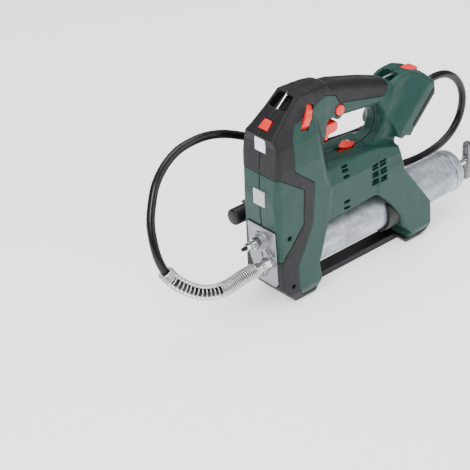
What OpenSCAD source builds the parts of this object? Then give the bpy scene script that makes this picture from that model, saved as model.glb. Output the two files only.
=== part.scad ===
// Cordless cartridge grease gun with a hose, in millimetres.
// +Z is up, +X runs from the pump head at the front to the plunger handle at the rear.
// The origin is on the floor, under the middle of the base bar.

/* [Housing] */
// Half width of the front and rear pillars
pillar_hw = 36; // [35:0.5:37]
// Half width of the motor housing between the pillars
body_hw = 34; // [33:0.5:35]
// Half width of the top handle
handle_hw = 17; // [16:0.5:18]
// Wall thickness of the moulded shells
wall = 3; // [2.6:0.2:3.4]
// Half width of the base bar between the feet
base_bar_hw = 10; // [8:1:12]

/* [Barrel] */
// Outer radius of the cartridge barrel
barrel_r = 28.5; // [27.5:0.25:28.5]
// Wall thickness of the barrel tube
barrel_wall = 1.5; // [1:0.25:2]
// Height of the barrel axis above the floor
barrel_z = 57; // [56.5:0.25:57.5]
// How far the plunger rod pulls out
plunger_travel = 200; // [150:10:200]
// Radius of the plunger rod
rod_r = 4; // [3.5:0.25:4]

/* [Pump and drive] */
// Radius of the pump piston
piston_r = 5; // [4:0.5:5]
// Radius of the motor can
motor_r = 24; // [22:1:24]
// Throw of the output crank
crank_throw = 5; // [4:0.5:5]

/* [Controls] */
// Travel of the trigger
trigger_travel = 6; // [4:1:6]
// Radius of the lock button
lock_r = 7; // [6:0.5:7]
// Radius of the speed dial
dial_r = 26; // [25:0.5:26]

/* [Hose] */
// Outer diameter of the hose
hose_d = 11; // [10:0.5:11]
// Outer diameter of the spring guard
guard_d = 20; // [18:1:20]
// Outer diameter of the coupler cap
cap_d = 22; // [20:1:22]

/* [Hidden] */
$fn = 48;
xc = 147;
bz = barrel_z;

// Side outlines, x then z, drawn anticlockwise
p_front = [[0,0],[34,0],[41,22],[37,45],[43,64],[52,97],[60,170],[64,203],[67,206],[67,276],[52,279],[18,281],[-30,239],[-28,226],[-33,154],[-30,112],[-26,28]];
p_body = [[44,98],[142,101],[191,101],[188,122],[182,156],[150,165],[115,169],[80,173],[44,177]];
p_rear = [[200,0],[228,0],[242,10],[240,52],[188,122],[184,146],[140,146],[140,102],[161,80],[181,53],[187,35],[203,17],[196,8]];
p_handle = [[48,196],[58,201],[66,211],[70,221],[79,221.5],[86,216],[93,215.5],[100,221],[131,217],[160,213],[168,204],[186,206],[192,238],[180,243],[143,257],[90,273],[56,278.5],[48,277]];
p_post = [[150,150],[184,150],[190,162],[196,180],[196,225],[172,224],[168,212],[167,188],[161,175],[150,166]];
p_mount = [[178,168],[184,164],[192,166],[200,162],[207,171],[244,209],[244,226],[236,237],[215,246],[192,246],[184,240],[170,205]];
// Regions that are moulded in soft black rubber
p_black = [[-60,-5],[45,-5],[45,9],[8,9],[1,21],[-2,54],[24,108],[29,165],[-4,192],[-1,230],[8,247],[36,254],[62,266],[83,258],[90,245],[166,227],[172,231],[176,240],[171,265],[100,290],[-60,290]];
p_nose = [[-60,70],[-27,70],[9,113],[11,162],[-25,187],[-60,187]];
// Screw positions in the shells: x, z, half length
screws = [[-14,102,30],[-9,30,30],[158,112,28],[170,150,26],[214,14,26],[216,196,26],[152,236,12]];

function inset(p, d) = let(n = len(p)) [for (i = [0:n-1]) let(a = p[(i+n-1)%n], b = p[i], c = p[(i+1)%n], u = (b-a)/norm(b-a), v = (c-b)/norm(c-b), s = [-u.y,u.x], t = [-v.y,v.x]) b + d*(s+t)/(1+s*t)];

module slab(p, y0, y1) translate([0,y1,0]) rotate([90,0,0]) linear_extrude(y1-y0) polygon(p);
module section(p, x0, x1) translate([x0,0,0]) rotate([90,0,90]) linear_extrude(x1-x0) polygon(p);
module plan(p, z0, z1) translate([0,0,z0]) linear_extrude(z1-z0) polygon(p);
module xcyl(x0, x1, y, z, r) translate([x0,y,z]) rotate([0,90,0]) cylinder(h=x1-x0, r=r);
module ycyl(x, z, y0, y1, r) translate([x,y0,z]) rotate([-90,0,0]) cylinder(h=y1-y0, r=r);
module zcyl(x, y, z0, z1, r) translate([x,y,z0]) cylinder(h=z1-z0, r=r);
module block(x0, x1, y0, y1, z0, z1) translate([x0,y0,z0]) cube([x1-x0,y1-y0,z1-z0]);
module at() translate([-xc,0,0]) children();
// Frame of the sloping head: +Z out of the slope, +X up along it
module on_slope(x, z) translate([x,0,z]) rotate([0,-41.2,0]) children();
// Frame of the battery rail plane: +X out of it to the rear, +Z up along it
module on_rail(x, z) translate([x,0,z]) rotate([0,44.2,0]) children();

module front_outer(d) intersection() {
    slab(inset(p_front, d), -pillar_hw+d, pillar_hw-d);
    section([[-28+d,-1],[28-d,-1],[pillar_hw-d,20],[pillar_hw-d,195],[31-d,225],[23-d,245],[20-d,262],[18-d,284],[-18+d,284],[-20+d,262],[-23+d,245],[-31+d,225],[-pillar_hw+d,195],[-pillar_hw+d,20]], -60, 80);
    plan([[-60,-27+d],[-33,-27+d],[-26,-34+d],[12,-pillar_hw+d-0.5],[80,-pillar_hw+d-0.5],[80,pillar_hw-d+0.5],[12,pillar_hw-d+0.5],[-26,34-d],[-33,27-d],[-60,27-d]], -2, 290);
}
// Rear corners of the front pillar, above the motor housing
module corners(d) translate([52.5,0,146]) rotate([0,-11.9,0]) for (s = [-1,1]) linear_extrude(160) polygon([[-d,s*38],[18-d,s*(17-d)],[60,s*(17-d)],[60,s*60],[-d,s*60]]);
module body_outer(d) intersection() {
    slab(inset(p_body, d), -body_hw+d, body_hw-d);
    section([[-body_hw+d,90],[body_hw-d,90],[body_hw-d,146],[28-d,166],[17-d,178],[-17+d,178],[-28+d,166],[-body_hw+d,146]], 30, 200);
}
module rear_outer(d) intersection() {
    slab(inset(p_rear, d), -pillar_hw+d, pillar_hw-d);
    section([[-28+d,-1],[28-d,-1],[pillar_hw-d,20],[pillar_hw-d,128],[28-d,150],[-28+d,150],[-pillar_hw+d,128],[-pillar_hw+d,20]], 130, 250);
}
module mount_outer(d) intersection() {
    slab(inset(p_mount, d), -pillar_hw+d, pillar_hw-d);
    on_rail(207, 171) translate([0,0,-60]) linear_extrude(180) polygon([[-80,-20+d],[-44,-20+d],[-22,-pillar_hw+d],[5,-pillar_hw+d],[5,pillar_hw-d],[-22,pillar_hw-d],[-44,20-d],[-80,20-d]]);
}
module outer() { difference() { front_outer(0); corners(0); } body_outer(0); rear_outer(0); slab(p_handle, -handle_hw, handle_hw); slab(p_post, -22, 22); mount_outer(0); }
module cavity() {
    difference() { intersection() { front_outer(wall); block(-60,80,-60,60,10,300); } corners(wall); }
    body_outer(wall);
    intersection() { rear_outer(wall); block(130,260,-60,60,10,300); }
    slab(inset(p_handle, wall), -handle_hw+wall, handle_hw-wall);
    slab(inset(p_post, wall), -22+wall, 22-wall);
    mount_outer(wall);
}
// Openings through the shells
module cuts() {
    xcyl(20, 260, 0, bz, barrel_r+0.8);
    xcyl(21, 39, 0, bz, 33.5);
    slab([[-60,29.7],[-16,29.7],[-16,112.3],[-60,112.3]], -25.3, 25.3);
    block(66.6, 92.5, -8, 8, 190, 245);
    block(66.6, 93, -13.8, 13.8, 190, 226.5);
    ycyl(90, 235, -40, 0, lock_r+0.4);
    translate([28,0,246]) rotate([0,120,0]) cylinder(h=11.4, r=dial_r+0.7, center=true);
    slab([[84,171.4],[136,165.4],[136,190],[84,190]], -9, 9);
    block(98, 122.6, -5.2, 5.2, 155, 190);
    block(-60, -24, -9.3, 9.3, 216.7, 235.3);
    on_slope(-18, 249.5) block(-7.3, 7.3, -8.3, 8.3, -9, 9);
    on_slope(8, 272.2) block(-10, 10, -15, 15, -13, 20);
    on_slope(8, 272.2) xcyl(-13.6, 13.6, 0, -2.4, 1.85);
    block(180, 198, -12, 12, 229, 260);
    xcyl(176.5, 201.5, 0, 240, 1.85);
    translate([226,0,238]) rotate([0,20,0]) block(-13.5, 10.9, -9.4, 9.4, -9, 20);
    on_rail(207, 171) block(-7, 10, -24, 24, 8, 50);
    block(-60, -30.8, -10.3, 10.3, 143.3, 164.7);
    block(25, 212, -base_bar_hw-0.05, base_bar_hw+0.05, -2, 9);
    for (s = [-1,1]) for (x = [131,144]) for (z = [120:5:150]) block(x, x+11, s<0?-40:30, s<0?-30:40, z, z+2.4);
    for (s = [-1,1]) for (z = [104,115,151,160]) block(81, 90, s<0?-40:27, s<0?-27:40, z, z+3);
}
module bosses(s) for (q = screws) ycyl(q.x, q.y, s<0?-60:0.02, s<0?-0.02:60, 5);
module boss_holes() for (q = screws) { ycyl(q.x, q.y, -q.z+3, q.z-3, 1.85); ycyl(q.x, q.y, -60, -q.z+5.65, 3.9); }
module half(s) intersection() { children(); block(-100, 400, s<0?-60:0, s<0?0:60, -5, 300); }
module black_region() { difference() { slab(p_black, -50, 50); slab(p_nose, -51, 51); } }
module shell(s) difference() {
    union() { half(s) difference() { outer(); cavity(); } intersection() { outer(); bosses(s); } }
    cuts();
    boss_holes();
}
module green(s) difference() { shell(s); slab(p_black, -50, 50); block(180, 260, -60, 60, -5, 10); }
module nose(s) intersection() { shell(s); slab(p_nose, -50, 50); }
module black(s) intersection() { shell(s); black_region(); }

module housing_right() at() color([0.16,0.33,0.30]) green(-1);
module housing_left() at() color([0.16,0.33,0.30]) green(1);
module nose_cover_right() at() color([0.16,0.33,0.30]) nose(-1);
module nose_cover_left() at() color([0.16,0.33,0.30]) nose(1);
module overmould_right() at() color([0.13,0.13,0.14]) black(-1);
module overmould_left() at() color([0.13,0.13,0.14]) black(1);
module rear_shoe_right() at() color([0.13,0.13,0.14]) intersection() { shell(-1); block(180, 260, -60, 60, -5, 10); }
module rear_shoe_left() at() color([0.13,0.13,0.14]) intersection() { shell(1); block(180, 260, -60, 60, -5, 10); }
module base_bar() at() color([0.13,0.13,0.14]) block(25.05, 211.95, -base_bar_hw, base_bar_hw, 0, 8.95);
module housing_screws() at() color([0.5,0.5,0.52]) for (q = screws) difference() {
    union() { ycyl(q.x, q.y, -q.z+3, -q.z+5.6, 3.6); ycyl(q.x, q.y, -q.z+5.5, q.z-5, 1.75); }
    ycyl(q.x, q.y, -q.z+2, -q.z+4.4, 1.6);
}
module front_strap_bar() at() color([0.8,0.8,0.82]) on_slope(8, 272.2) xcyl(-13.5, 13.5, 0, -2.4, 1.75);
module rear_strap_bar() at() color([0.8,0.8,0.82]) xcyl(176.6, 201.4, 0, 240, 1.75);
module name_plate() at() color([0.7,0.7,0.72]) block(-32.9, -31, -10, 10, 143.6, 164.4);
module led_lens() at() color([0.85,0.87,1.0]) block(-28.4, -25, -9, 9, 217, 235);
module led_board() at() color([0.1,0.4,0.2]) { block(-24.2, -22.6, -11, 11, 213, 238); block(-25, -24.2, -4, 4, 222, 230); }
module led_button() at() color([0.9,0.2,0.18]) on_slope(-18, 249.5) difference() {
    block(-7, 7, -8, 8, -4.6, 1.2);
    block(-4.5, 4.5, -5.5, 5.5, -5, -2.5);
}
module speed_dial() at() color([0.9,0.2,0.18]) translate([28,0,246]) rotate([0,120,0]) difference() {
    cylinder(h=10, r=dial_r, center=true);
    cylinder(h=12, r=4.05, center=true);
    for (a = [0:20:359]) rotate([0,0,a]) translate([dial_r+0.6,0,-6]) cylinder(h=12, r=1.8);
}
module dial_shaft() at() color([0.3,0.3,0.32]) translate([28,0,246]) rotate([0,120,0]) { cylinder(h=16, r=4, center=true); translate([0,0,-13]) cube([14,14,10], center=true); }
module trigger() at() color([0.9,0.2,0.18]) difference() {
    union() {
        slab([[67.2,199],[71,198],[74,203],[86,204.5],[90.5,208],[91,216],[84,219],[68,219.5]], -13, 13);
        slab([[68,210],[84,210],[84,240],[68,240]], -6.5, 6.5);
    }
    slab([[71,222],[81,222],[81,241],[71,241]], -4, 4);
}
module trigger_switch() at() color([0.15,0.15,0.16]) { block(64, 84, -8, 8, 247, 262); block(73, 79, -3, 3, 246.3, 247); }
module lock_button() at() color([0.9,0.2,0.18]) { ycyl(90, 235, -19, -12, lock_r); ycyl(90, 235, -12.1, 9, 2.4); }
module gear_selector() at() color([0.9,0.2,0.18]) {
    slab([[104,169.6],[130,166.6],[128,170],[120,173],[114,177],[108,174]], -6.5, 6.5);
    block(112.4, 122, -4.8, 4.8, 163, 169);
    block(108, 126, -8, 8, 160.5, 163.1);
}
module battery_release_button() at() color([0.9,0.2,0.18]) translate([226,0,238]) rotate([0,20,0]) difference() {
    block(-10.5, 10.5, -9, 9, -6.5, 2);
    block(-8, 8, -6.5, 6.5, -7, -1.5);
}
module battery_contact_block() at() color([0.12,0.12,0.13]) on_rail(207, 171) difference() {
    block(-6.9, -0.4, -23.8, 23.8, 8.2, 49.8);
    for (y = [-16,-8,0,8,16]) block(-5, 1, y-1.2, y+1.2, 14, 44);
}
module battery_terminals() at() color([0.75,0.6,0.3]) on_rail(207, 171) for (y = [-16,-8,8,16]) block(-5, -1, y-0.5, y+0.5, 20, 40);

module pump_head() at() color([0.72,0.72,0.75]) difference() {
    union() {
        slab([[-27.4,30],[-22,30],[-22,112],[-31.4,112]], -25, 25);
        block(-22.1, 27, -24, 24, 42, 95);
        xcyl(22, 38, 0, bz, 33);
        xcyl(-37, -22, 0, 92, 9);
        xcyl(-37, -22, -18, 69, 7.2);
        slab([[-29.4,42],[-26,42],[-28,108],[-32.6,108]], -1.5, 1.5);
        zcyl(14, 0, 94, 103, 9);
    }
    xcyl(26, 60, 0, bz, barrel_r+0.05);
    zcyl(14, 0, 62, 110, piston_r+0.05);
    xcyl(-50, -26, 0, 92, 3.05);
    xcyl(-50, -26, -18, 69, 4.05);
}
module hexbar(x0, x1, y, z, af) translate([x0,y,z]) rotate([0,90,0]) cylinder(h=x1-x0, r=af/sqrt(3), $fn=6);
module bleeder_valve() at() color([0.78,0.78,0.8]) difference() {
    union() { xcyl(-37.1, -30, 0, 92, 3); hexbar(-44, -37, 0, 92, 12); xcyl(-52, -44, 0, 92, 4.5); hexbar(-57, -52, 0, 92, 9); }
    xcyl(-60, -40, 0, 92, 2.55);
}
module bleeder_pin() at() color([0.2,0.2,0.22]) { xcyl(-63, -43.5, 0, 92, 2.5); }
module outlet_union() at() color([0.78,0.78,0.8]) difference() {
    union() { xcyl(-37.1, -30, -18, 69, 4); hexbar(-46, -37, -18, 69, 15); xcyl(-52, -46, -18, 69, 6); }
    xcyl(-60, -28, -18, 69, 2);
}
module pump_piston() at() color([0.7,0.7,0.72]) {
    zcyl(14, 0, 72, 118, piston_r);
    difference() { block(9, 19, -13, 13, 116, 151); block(8, 20, -10, 10, 119, 148); }
}
module output_crank() at() color([0.6,0.6,0.62]) {
    xcyl(20.5, 27, 0, 133, 13);
    xcyl(10, 20.6, 0, 133-crank_throw, 3);
    xcyl(26.9, 31, 0, 133, 6);
}
module gearbox_housing() at() color([0.6,0.6,0.63]) difference() {
    union() { xcyl(31.5, 58, 0, 133, 22); xcyl(57.9, 73.5, 0, 133, 24); }
    xcyl(31, 34, 0, 133, 8);
    xcyl(30, 62, 0, 133, 6.05);
    xcyl(60, 80, 0, 133, 21);
}
module motor_can() at() color([0.35,0.35,0.38]) difference() {
    xcyl(74, 134, 0, 133, motor_r);
    xcyl(76, 140, 0, 133, motor_r-2);
    xcyl(70, 80, 0, 133, 3.05);
}
module motor_rotor() at() color([0.5,0.4,0.3]) {
    xcyl(62, 150, 0, 133, 3);
    xcyl(80, 128, 0, 133, 18);
    difference() { xcyl(137, 145, 0, 133, 22); for (a = [0:30:359]) translate([0,0,133]) rotate([a,0,0]) block(138.5, 146, -1.5, 1.5, 8, 30); }
}
module control_board() at() color([0.1,0.35,0.2]) { block(104, 146, -12, 12, 234, 235.6); block(110, 120, -8, 8, 235.6, 241); block(126, 138, -6, 6, 235.6, 244); }

module barrel_tube() at() color([0.74,0.76,0.79]) difference() {
    xcyl(28, 299, 0, bz, barrel_r);
    xcyl(20, 310, 0, bz, barrel_r-barrel_wall);
    difference() { xcyl(286, 287.2, 0, bz, barrel_r+1); xcyl(280, 290, 0, bz, barrel_r-0.5); }
}
module barrel_cap() at() color([0.74,0.76,0.79]) difference() {
    translate([0,0,bz]) rotate([0,90,0]) rotate_extrude() polygon([[0,312],[0,319],[6,319],[8,318],[20,316],[26,313],[28.9,308],[28.9,299],[barrel_r-barrel_wall-0.02,299],[barrel_r-barrel_wall-0.02,292],[24,292],[24,308],[18,312]]);
    xcyl(300, 330, 0, bz, rod_r+0.05);
}
module barrel_saddle() at() color([0.13,0.13,0.14]) difference() {
    intersection() { xcyl(163, 191, 0, bz, 33.4); slab([[163,28],[190,28],[192,48],[180,66],[178,74],[163,74]], -40, 40); }
    xcyl(150, 200, 0, bz, barrel_r+0.4);
    rear_outer(-0.05);
}
module follower_cup() at() color([0.2,0.2,0.22]) difference() {
    xcyl(60, 78, 0, bz, barrel_r-barrel_wall-0.3);
    xcyl(64, 80, 0, bz, barrel_r-barrel_wall-4);
}
module follower_spring() at() color([0.6,0.6,0.62]) difference() { xcyl(64.3, 307.7, 0, bz, 22); xcyl(60, 310, 0, bz, 20); }
module plunger_rod() at() color([0.8,0.8,0.82]) { xcyl(64, 343, 0, bz, rod_r); }
module t_handle() at() color([0.8,0.8,0.82]) difference() {
    hull() { for (z = [bz-29+6, bz+29-6]) xcyl(343, 351, 0, z, 6); }
    hull() { for (z = [bz-29+6, bz+29-6]) xcyl(345.5, 354, 0, z, 4); }
}
module hose_holder() at() color([0.13,0.13,0.14]) difference() {
    union() { xcyl(-8, 12, 50, 105, 14.5); block(-8, 12, 35.6, 42, 94, 116); }
    xcyl(-20, 20, 50, 105, 11.1);
    block(-20, 20, 50, 70, 97.5, 112.5);
    front_outer(-0.02);
}

// Hose route, from the outlet union to the coupler
hose_pts = [[-60,-18,69],[-80,-18,68],[-102,-17,64],[-122,-15,65],[-142,-12,72],[-159,-7,84],[-173,-3,98],[-182,3,113],[-186,10,131],[-185,18,150],[-180,27,169],[-170,35,188],[-156,43,206],[-136,49,221],[-113,53,230],[-90,54,233],[-67,54,232],[-44,52,227],[-22,50,218],[1,48,206],[25,47,191],[50,46,179],[75,45,168],[100,45,159],[130,45,152],[160,45,148],[190,45,146],[220,45,148],[250,45,154],[278,45,163],[303,45,171],[328,45,175],[350,45,171],[369,45,158],[381,45,140],[385,45,119],[380,45,97],[366,45,79],[346,45,68],[322,45,63],[296,45,62],[268,46,64],[238,47,69],[208,47,76],[178,48,84],[148,49,92],[120,50,99],[95,50,103],[75,50,105],[62,50,105]];
// Catmull-Rom point between points i and i+1
function cr(p, i, t) = let(n = len(p)-1, a = p[max(i-1,0)], b = p[i], c = p[min(i+1,n)], d = p[min(i+2,n)]) 0.5*((2*b) + (c-a)*t + (2*a-5*b+4*c-d)*t*t + (3*b-a-3*c+d)*t*t*t);
guard_n = 7;
function route(i0, i1, m) = [for (i = [i0:i1-1]) for (k = [0:m-1]) cr(hose_pts, i, k/m), hose_pts[i1]];
function unit(v) = v/norm(v);
function tang(q, i) = unit(q[min(i+1,len(q)-1)] - q[max(i-1,0)]);
function frames(q) = [for (i = 0, a = unit(cross(tang(q,0), [0,1,0.3])); i < len(q); i = i+1, a = i < len(q) ? let(t = tang(q,i)) unit(a - (a*t)*t) : a) a];
module sweep(q, r, m) {
    f = frames(q); n = len(q);
    pts = [for (i = [0:n-1]) let(t = tang(q,i), b = cross(t, f[i])) for (k = [0:m-1]) q[i] + r*(cos(360*k/m)*f[i] + sin(360*k/m)*b)];
    sides = [for (i = [0:n-2]) for (k = [0:m-1]) let(a = i*m+k, b = i*m+(k+1)%m) each [[a, b, b+m], [a, b+m, a+m]]];
    caps = [[for (k = [0:m-1]) m-1-k]];
    cape = [[for (k = [0:m-1]) (n-1)*m+k]];
    polyhedron(points=pts, faces=concat(sides, caps, cape));
}
module hose_ferrule_front() at() color([0.7,0.72,0.75]) difference() { xcyl(-60, -52, -18, 69, 7.5); xcyl(-62, -50, -18, 69, 3); }
module spring_guard() at() color([0.75,0.76,0.78]) sweep([for (p = route(0, guard_n, 2)) p + [0,0,0]], guard_d/2, 12);
module hose() at() color([0.05,0.05,0.055]) sweep(route(guard_n, len(hose_pts)-1, 2), hose_d/2, 10);
module hose_ferrule_rear() at() color([0.7,0.72,0.75]) { xcyl(44, 62, 50, 105, 7.5); hexbar(38, 44.1, 50, 105, 14); }
module grease_coupler() at() color([0.7,0.72,0.75]) { xcyl(14, 38, 50, 105, 8.5); xcyl(-8, 14.1, 50, 105, 8); }
module coupler_cap() at() color([0.08,0.08,0.09]) difference() { xcyl(-34, 13, 50, 105, cap_d/2); xcyl(-9, 20, 50, 105, 8.02); }

housing_right();
housing_left();
nose_cover_right();
nose_cover_left();
overmould_right();
overmould_left();
rear_shoe_right();
rear_shoe_left();
base_bar();
housing_screws();
front_strap_bar();
rear_strap_bar();
name_plate();
led_lens();
led_board();
led_button();
speed_dial();
dial_shaft();
trigger();
trigger_switch();
lock_button();
gear_selector();
battery_release_button();
battery_contact_block();
battery_terminals();
pump_head();
bleeder_valve();
bleeder_pin();
outlet_union();
pump_piston();
output_crank();
gearbox_housing();
motor_can();
motor_rotor();
control_board();
barrel_tube();
barrel_cap();
barrel_saddle();
follower_cup();
follower_spring();
plunger_rod();
t_handle();
hose_holder();
hose_ferrule_front();
spring_guard();
hose();
hose_ferrule_rear();
grease_coupler();
coupler_cap();
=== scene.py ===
import math

import bpy
import numpy as np
import openvdb as vdb
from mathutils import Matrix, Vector


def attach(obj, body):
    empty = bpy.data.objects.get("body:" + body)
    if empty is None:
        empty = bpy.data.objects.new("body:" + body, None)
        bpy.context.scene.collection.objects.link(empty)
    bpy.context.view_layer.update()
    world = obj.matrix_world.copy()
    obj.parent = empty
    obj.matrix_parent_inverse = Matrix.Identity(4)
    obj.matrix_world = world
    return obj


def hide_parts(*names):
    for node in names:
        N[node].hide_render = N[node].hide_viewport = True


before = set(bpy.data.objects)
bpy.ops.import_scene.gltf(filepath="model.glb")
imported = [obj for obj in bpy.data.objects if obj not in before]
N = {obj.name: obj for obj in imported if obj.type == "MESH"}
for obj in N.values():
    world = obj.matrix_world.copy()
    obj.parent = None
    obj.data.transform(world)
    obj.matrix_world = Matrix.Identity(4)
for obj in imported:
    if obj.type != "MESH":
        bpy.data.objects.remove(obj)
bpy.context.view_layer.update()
XC = 147.0            # the drawing's x of the row origin; shapes below are drawn in millimetres
H = 1.0   # voxel of the housing
HS = 0.38  # voxel of small pieces

# ------------------------------------------------------------------ outlines
p_front = [[0,0],[34,0],[41,22],[37,45],[43,64],[52,97],[60,170],[64,203],[67,206],[67,276],[52,279],[18,281],[-30,239],[-28,226],[-33,154],[-30,112],[-26,28]]
p_body = [[44,98],[142,101],[191,101],[188,122],[182,156],[150,165],[115,169],[80,173],[44,177]]
p_rear = [[200,0],[228,0],[242,10],[240,52],[188,122],[184,146],[140,146],[140,102],[161,80],[181,53],[187,35],[203,17],[196,8]]
p_handle = [[40,196],[58,201],[66,211],[70,221],[79,221.5],[86,216],[93,215.5],[100,221],[131,217],[160,213],[168,204],[186,206],[192,238],[180,243],[143,257],[90,273],[56,278.5],[40,279]]
p_post = [[150,150],[184,150],[190,162],[196,180],[196,225],[172,224],[168,212],[167,188],[161,175],[150,166]]
p_mount = [[178,168],[184,164],[192,166],[200,162],[207,171],[244,209],[244,226],[236,237],[215,246],[192,246],[184,240],[170,205]]
p_black = [[-60,-5],[45,-5],[45,9],[8,9],[1,21],[-2,54],[24,108],[29,165],[-4,192],[-1,230],[8,247],[36,254],[62,266],[83,258],[90,245],[166,227],[172,231],[176,240],[171,265],[100,290],[-60,290]]
p_nose = [[-60,70],[-27,70],[9,113],[11,162],[-25,187],[-60,187]]

# ------------------------------------------------------------------ distance-field tools
class Grid:
    def __init__(s, lo, hi, h):
        s.h = h
        s.lo = np.array(lo, float)
        n = [int(math.ceil((b - a) / h)) + 1 for a, b in zip(lo, hi)]
        s.x = (lo[0] + h * np.arange(n[0], dtype=np.float32))[:, None, None]
        s.y = (lo[1] + h * np.arange(n[1], dtype=np.float32))[None, :, None]
        s.z = (lo[2] + h * np.arange(n[2], dtype=np.float32))[None, None, :]
        s.shape = tuple(n)


def poly2(p, u, v):
    """Signed distance to a closed outline in the plane of u and v."""
    p = np.array(p, np.float32)
    best = None
    inside = None
    for i in range(len(p)):
        a, b = p[i - 1], p[i]
        e = b - a
        wu, wv = u - a[0], v - a[1]
        t = np.clip((wu * e[0] + wv * e[1]) / float(e @ e), 0, 1)
        d = (wu - t * e[0]) ** 2 + (wv - t * e[1]) ** 2
        best = d if best is None else np.minimum(best, d)
        c = ((a[1] > v) != (b[1] > v)) & (u < (b[0] - a[0]) * (v - a[1]) / (b[1] - a[1] + 1e-12) + a[0])
        inside = c if inside is None else inside ^ c
    return np.where(inside, -np.sqrt(best), np.sqrt(best)).astype(np.float32)


def rint(a, b, r):
    """Both, with the edge between them rounded to r."""
    if r <= 0:
        return np.maximum(a, b)
    return np.minimum(np.maximum(a, b), -r) + np.sqrt(np.maximum(a + r, 0) ** 2 + np.maximum(b + r, 0) ** 2)


def runi(a, b, r):
    """Either, with a fillet of r between them."""
    if r <= 0:
        return np.minimum(a, b)
    return np.maximum(np.minimum(a, b), r) - np.sqrt(np.maximum(r - a, 0) ** 2 + np.maximum(r - b, 0) ** 2)


def cut(a, b, r=0.0):
    return rint(a, -b, r)


def box(lx, ly, lz, x0, x1, y0, y1, z0, z1, r=0.0):
    q = [abs(lx - (x0 + x1) / 2) - (x1 - x0) / 2 + r, abs(ly - (y0 + y1) / 2) - (y1 - y0) / 2 + r, abs(lz - (z0 + z1) / 2) - (z1 - z0) / 2 + r]
    out = np.sqrt(np.maximum(q[0], 0) ** 2 + np.maximum(q[1], 0) ** 2 + np.maximum(q[2], 0) ** 2)
    return out + np.minimum(np.maximum(np.maximum(q[0], q[1]), q[2]), 0) - r


def local(g, o, deg):
    """x and z in a frame at o that is turned about Y by deg, as rotate([0, deg, 0]) does."""
    c, s = math.cos(math.radians(deg)), math.sin(math.radians(deg))
    dx, dz = g.x - o[0], g.z - o[1]
    return c * dx - s * dz, s * dx + c * dz


def slope(g, x, z):
    return local(g, (x, z), -41.2)


def rail(g):
    return local(g, (207, 171), 44.2)


def mesh_of(g, d, name, iso=0.0, mirror=False, soften=0):
    d = np.ascontiguousarray(np.broadcast_to(d, g.shape).astype(np.float32)).copy()
    d[[0, -1]] = np.maximum(d[[0, -1]], 0.5)
    d[:, [0, -1]] = np.maximum(d[:, [0, -1]], 0.5)
    d[:, :, [0, -1]] = np.maximum(d[:, :, [0, -1]], 0.5)
    grid = vdb.FloatGrid()
    grid.background = float(3 * g.h)
    grid.copyFromArray(np.clip(d, -3 * g.h, 3 * g.h))
    pts, quads = grid.convertToQuads(iso)
    pts = pts * g.h + g.lo
    # each point is drawn onto the surface along the field's slope
    sd = d
    for _ in range(2):
        f = (pts - g.lo) / g.h
        i = np.clip(np.floor(f).astype(int), 0, np.array(g.shape) - 2)
        t = (f - i).astype(np.float32)
        c = [[[sd[i[:, 0] + a, i[:, 1] + b, i[:, 2] + e] for e in (0, 1)] for b in (0, 1)] for a in (0, 1)]
        wx, wy, wz = t[:, 0], t[:, 1], t[:, 2]
        def mixz(a, b): return c[a][b][0] * (1 - wz) + c[a][b][1] * wz
        def mixyz(a): return mixz(a, 0) * (1 - wy) + mixz(a, 1) * wy
        val = mixyz(0) * (1 - wx) + mixyz(1) * wx
        gx = mixyz(1) - mixyz(0)
        gy = (mixz(0, 1) - mixz(0, 0)) * (1 - wx) + (mixz(1, 1) - mixz(1, 0)) * wx
        gz = ((c[0][0][1] - c[0][0][0]) * (1 - wy) + (c[0][1][1] - c[0][1][0]) * wy) * (1 - wx) + ((c[1][0][1] - c[1][0][0]) * (1 - wy) + (c[1][1][1] - c[1][1][0]) * wy) * wx
        grad = np.stack([gx, gy, gz], 1) / g.h
        n2 = np.maximum((grad ** 2).sum(1), 0.2)
        step = np.clip(-(val - iso) / n2, -0.4 * g.h, 0.4 * g.h)
        pts = pts + grad * step[:, None] * 0.8
    if mirror:
        pts = pts * np.array([1, -1, 1])
        quads = quads[:, ::-1]
    return raw_mesh(name, pts, quads)


def raw_mesh(name, pts, faces, smooth=True):
    """A mesh object from points in drawing millimetres and equal-sided faces."""
    pts = (np.asarray(pts, float) - np.array([XC, 0, 0])) / 1000
    faces = np.asarray(faces, np.int32)
    me = bpy.data.meshes.new(name)
    k = faces.shape[1]
    me.vertices.add(len(pts))
    me.vertices.foreach_set("co", pts.astype(np.float32).ravel())
    me.loops.add(faces.size)
    me.loops.foreach_set("vertex_index", faces.ravel())
    me.polygons.add(len(faces))
    me.polygons.foreach_set("loop_start", np.arange(0, faces.size, k, dtype=np.int32))
    me.polygons.foreach_set("use_smooth", np.full(len(faces), smooth))
    me.update(calc_edges=True)
    me.validate()
    o = bpy.data.objects.new(name, me)
    bpy.context.scene.collection.objects.link(o)
    # outward normals
    v = np.zeros(len(me.vertices) * 3, np.float32); me.vertices.foreach_get("co", v); v = v.reshape(-1, 3)
    me.calc_loop_triangles()
    t = np.zeros(len(me.loop_triangles) * 3, np.int32); me.loop_triangles.foreach_get("vertices", t); t = t.reshape(-1, 3)
    vol = (v[t[:, 0]] * np.cross(v[t[:, 1]], v[t[:, 2]])).sum()
    if vol < 0:
        me.flip_normals()
    return o


def finishing(o, body, mat, slot, *nodes):
    o.data.materials.clear()
    o.data.materials.append(mat)
    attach(o, body)
    if nodes:
        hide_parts(*nodes)
    return o


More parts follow.
